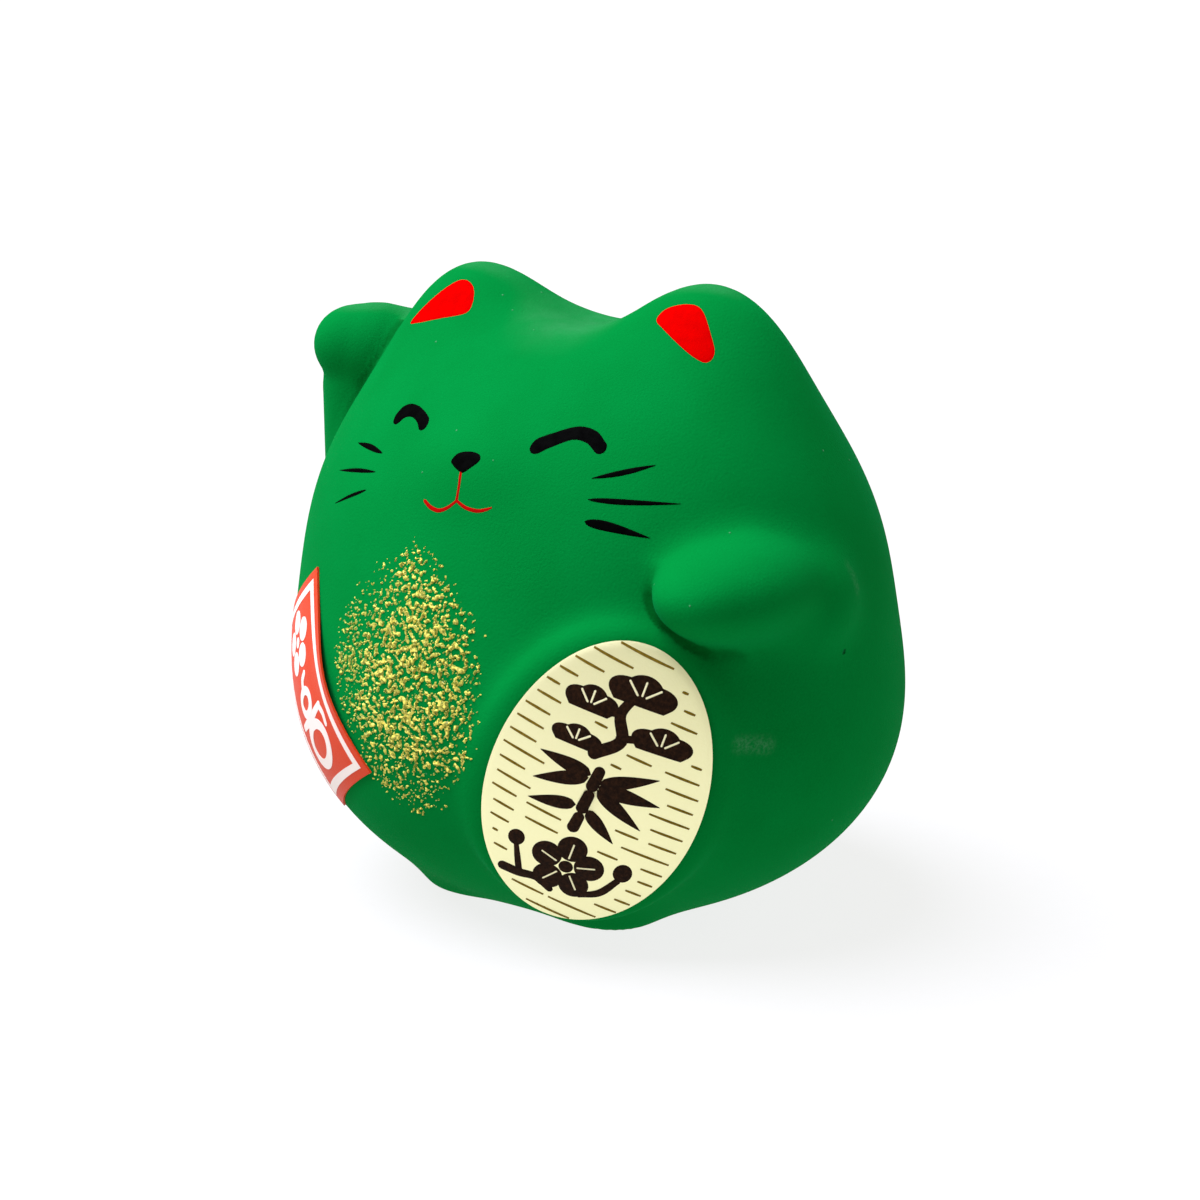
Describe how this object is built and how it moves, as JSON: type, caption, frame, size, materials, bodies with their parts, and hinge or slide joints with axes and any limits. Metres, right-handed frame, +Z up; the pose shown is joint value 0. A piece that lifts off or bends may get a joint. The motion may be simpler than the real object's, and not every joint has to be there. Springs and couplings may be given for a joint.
{
  "type": "lucky cat figurine",
  "caption": "Hollow painted clay bell in the shape of a seated beckoning cat, with a loose pellet inside, a gold oval card at its foot and a red paper label on its side.",
  "frame": {"origin": "middle of the object's box, on the surface that it stands on", "axes": "+X to the cat's left, -Y the way that it faces, +Z up"},
  "size_m": [0.061, 0.0524, 0.056],
  "materials": {
    "painted_clay": "matt green paint on fired clay",
    "bare_clay": "bare fired clay",
    "gold_card": "pale gold card, satin, printed in dark brown",
    "red_label_paper": "smooth printed paper, red and white",
    "gold_dabs": "dabbed gold paint",
    "red_paint": "brushed matt red paint",
    "black_paint": "brushed black paint"
  },
  "bodies": {
    "body": {"clay_shell": "painted_clay", "gold_card": "gold_card", "red_label": "red_label_paper", "gold_dabs": "gold_dabs", "right_ear_red": "red_paint", "left_ear_red": "red_paint", "mouth": "red_paint", "right_eye": "black_paint", "left_eye": "black_paint", "nose": "black_paint", "right_whisker_top": "black_paint", "right_whisker_middle": "black_paint", "right_whisker_bottom": "black_paint", "left_whisker_top": "black_paint", "left_whisker_middle": "black_paint", "left_whisker_bottom": "black_paint"},
    "pellet": {"sound_pellet": "bare_clay"}
  },
  "joints": [
    {"name": "pellet_rattle", "type": "slide", "parent": "body", "child": "pellet", "axis": [0, 0, 1], "range_m": [0, 0.03]}
  ]
}
